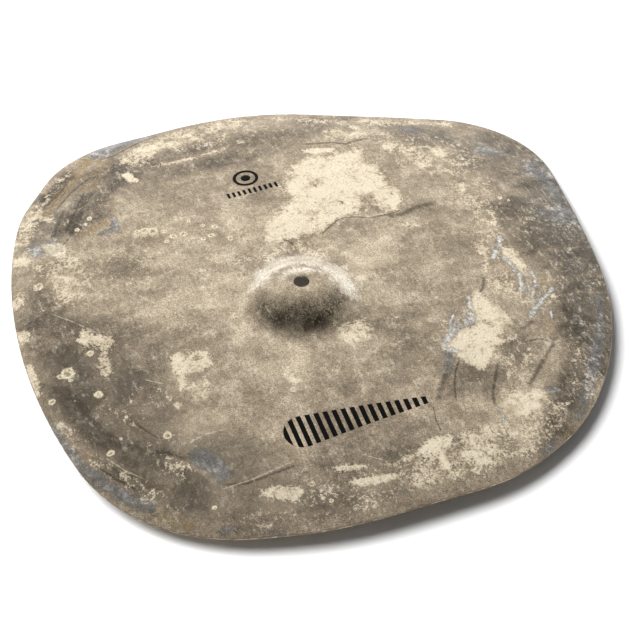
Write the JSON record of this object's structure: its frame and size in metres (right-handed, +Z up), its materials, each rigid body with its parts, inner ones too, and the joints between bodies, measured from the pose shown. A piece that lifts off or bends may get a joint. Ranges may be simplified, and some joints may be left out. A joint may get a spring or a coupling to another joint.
{
  "type": "crash cymbal",
  "caption": "Free-form crash cymbal: a thin sheet of raw bell bronze with a small bell, a low bow, drooping corners, a central stand bore and printed ink marks.",
  "frame": {"origin": "on the axis of the stand bore, at the top of the bell", "axes": "+Z up along the bore's axis, +Y away from the reader of the large front mark, +X to the reader's right"},
  "size_m": [0.4767, 0.4737, 0.0537],
  "materials": {
    "raw_bronze": "raw cast and rolled bell bronze, grey-brown patina with pale cream patches, unlathed, satin",
    "black_ink": "thin screen-printed black ink, matte"
  },
  "bodies": {
    "root": {"bronze_plate": "raw_bronze", "front_ink_mark": "black_ink", "rear_ink_emblem": "black_ink", "rear_ink_ticks": "black_ink"}
  },
  "joints": []
}
